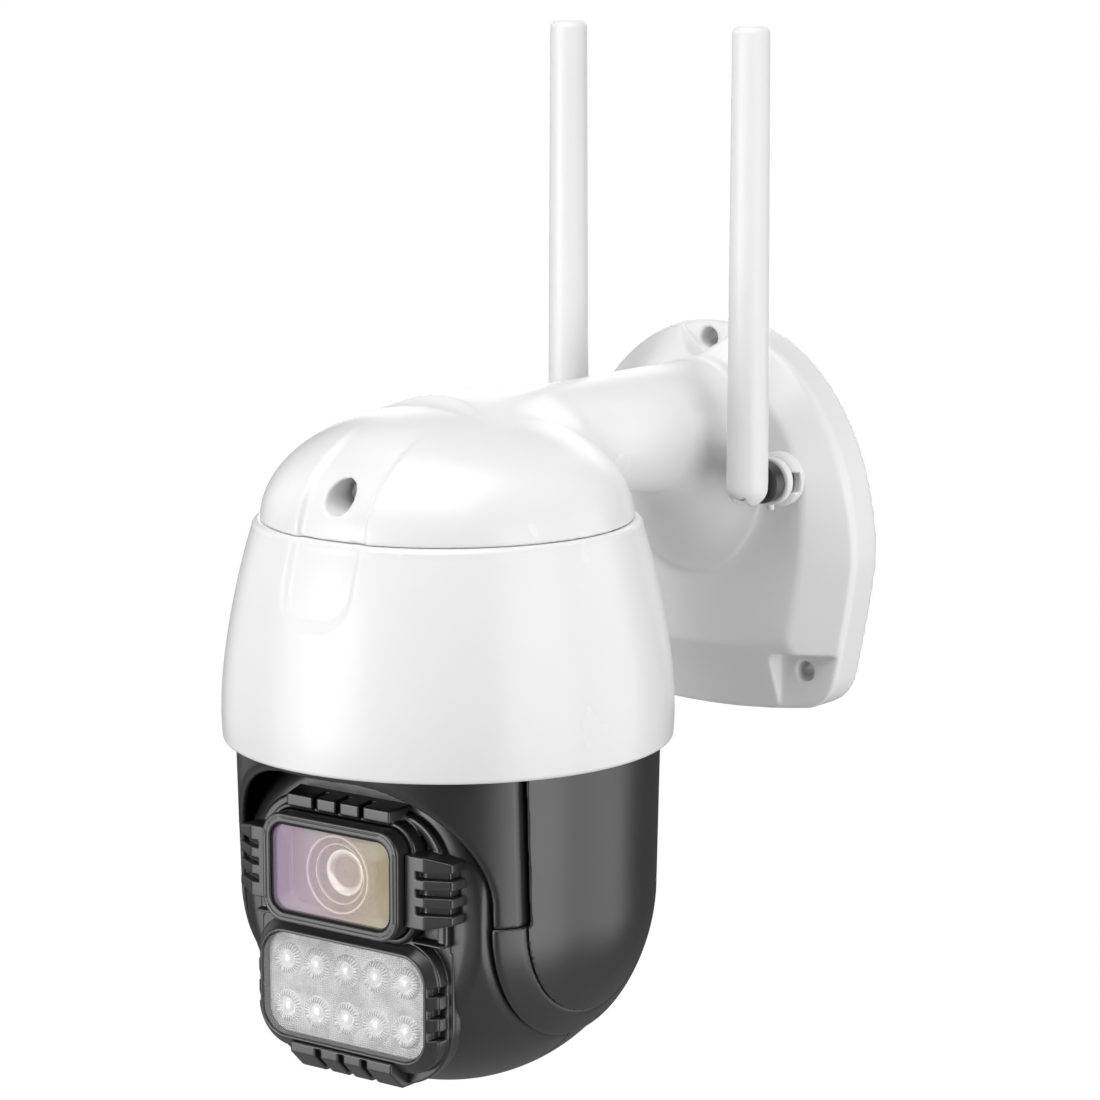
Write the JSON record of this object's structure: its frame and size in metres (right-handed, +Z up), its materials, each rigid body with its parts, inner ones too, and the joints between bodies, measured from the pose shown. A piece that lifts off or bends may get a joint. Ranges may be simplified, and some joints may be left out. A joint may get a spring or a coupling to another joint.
{
  "type": "security camera",
  "caption": "Wall-mounted pan-and-tilt security camera: white arm bracket with a domed skirt, two swivelling antennas, and a black head whose ball carries the lens and a lamp panel.",
  "frame": {"origin": "middle of the bracket's face that lies on the wall", "axes": "+Y out of the back, into the wall; -Y the way the lens faces; +Z up, along the antennas; +X to the right of someone who stands in front of the wall and looks at it"},
  "size_m": [0.1302, 0.2084, 0.3001],
  "materials": {
    "white_plastic": "smooth semi-gloss moulded white plastic",
    "black_plastic": "fine satin moulded charcoal plastic",
    "grey_plastic": "matte moulded grey plastic",
    "rubber_seal": "matte black rubber",
    "steel": "plain zinc-plated steel",
    "aluminium_sink": "black anodised aluminium",
    "circuit_board": "green coated circuit board",
    "nylon": "natural nylon",
    "tinted_glass": "coated glass with a purple to gold sheen",
    "clear_window": "clear polycarbonate",
    "lamp_tray": "silvered lens panel"
  },
  "bodies": {
    "bracket": {"bracket_shell": "white_plastic", "rear_cover": "grey_plastic", "cable_grommet": "rubber_seal", "wifi_board": "circuit_board", "skirt_shell": "white_plastic", "seam_gasket": "rubber_seal", "chassis_plate": "grey_plastic", "pan_motor": "steel", "pan_bearing": "steel", "main_board": "circuit_board", "cap_screw": "steel", "antenna_collar_left": "white_plastic", "antenna_collar_right": "white_plastic", "rear_cover_screw_1": "steel", "rear_cover_screw_2": "steel", "rear_cover_screw_3": "steel", "rear_cover_screw_4": "steel", "chassis_screw_1": "steel", "chassis_screw_2": "steel", "chassis_screw_3": "steel"},
    "pan_head": {"turntable": "grey_plastic", "pan_gear": "nylon", "yoke_shell": "black_plastic", "yoke_band_left": "black_plastic", "yoke_band_right": "black_plastic", "side_cover_left": "black_plastic", "side_cover_right": "black_plastic", "tilt_bearing_left": "steel", "tilt_bearing_right": "steel", "tilt_motor": "steel"},
    "pan_pinion": {"pan_pinion": "nylon"},
    "tilt_ball": {"ball_front_shell": "black_plastic", "ball_rear_shell": "black_plastic", "tilt_shaft_left": "steel", "tilt_shaft_right": "steel", "tilt_gear": "nylon", "face_plate": "black_plastic", "camera_bezel": "black_plastic", "camera_window": "tinted_glass", "window_gasket": "rubber_seal", "lens_chamber": "grey_plastic", "lens_barrel": "black_plastic", "lens_glass": "tinted_glass", "sensor_board": "circuit_board", "led_frame": "black_plastic", "led_window": "clear_window", "led_lens_panel": "lamp_tray", "led_board": "circuit_board", "led_heat_sink": "aluminium_sink"},
    "tilt_pinion": {"tilt_pinion": "nylon"},
    "antenna_left_base": {"antenna_barrel_left": "black_plastic", "antenna_flange_left": "white_plastic", "antenna_pin_left": "steel"},
    "antenna_right_base": {"antenna_barrel_right": "black_plastic", "antenna_flange_right": "white_plastic", "antenna_pin_right": "steel"},
    "antenna_left_rod": {"antenna_rod_left": "white_plastic"},
    "antenna_right_rod": {"antenna_rod_right": "white_plastic"}
  },
  "joints": [
    {"name": "pan", "type": "hinge", "parent": "bracket", "child": "pan_head", "pos_m": [0, -0.1433, -0.0263], "axis": [0, 0, 1], "range_deg": [-175, 175]},
    {"name": "pan_pinion_turn", "type": "hinge", "parent": "bracket", "child": "pan_pinion", "pos_m": [0, -0.1133, -0.0263], "axis": [0, 0, 1], "range_deg": [-705, 705]},
    {"name": "tilt", "type": "hinge", "parent": "pan_head", "child": "tilt_ball", "pos_m": [0, -0.1433, -0.08895], "axis": [1, 0, 0], "range_deg": [0, 90]},
    {"name": "tilt_pinion_turn", "type": "hinge", "parent": "pan_head", "child": "tilt_pinion", "pos_m": [0, -0.1433, -0.07295], "axis": [1, 0, 0], "range_deg": [-275, 5]},
    {"name": "antenna_left_swivel", "type": "hinge", "parent": "bracket", "child": "antenna_left_base", "pos_m": [-0.0335, -0.0404, 0.0151], "axis": [0, -1, 0], "range_deg": [-10, 90]},
    {"name": "antenna_right_swivel", "type": "hinge", "parent": "bracket", "child": "antenna_right_base", "pos_m": [0.0335, -0.0404, 0.0151], "axis": [0, 1, 0], "range_deg": [-10, 90]},
    {"name": "antenna_left_fold", "type": "hinge", "parent": "antenna_left_base", "child": "antenna_left_rod", "pos_m": [-0.0335, -0.0404, 0.0151], "axis": [1, 0, 0], "range_deg": [0, 60]},
    {"name": "antenna_right_fold", "type": "hinge", "parent": "antenna_right_base", "child": "antenna_right_rod", "pos_m": [0.0335, -0.0404, 0.0151], "axis": [1, 0, 0], "range_deg": [0, 60]}
  ],
  "couplings": [
    {"joint": "pan_pinion_turn", "follows": "pan", "ratio": -4},
    {"joint": "tilt_pinion_turn", "follows": "tilt", "ratio": -3}
  ]
}
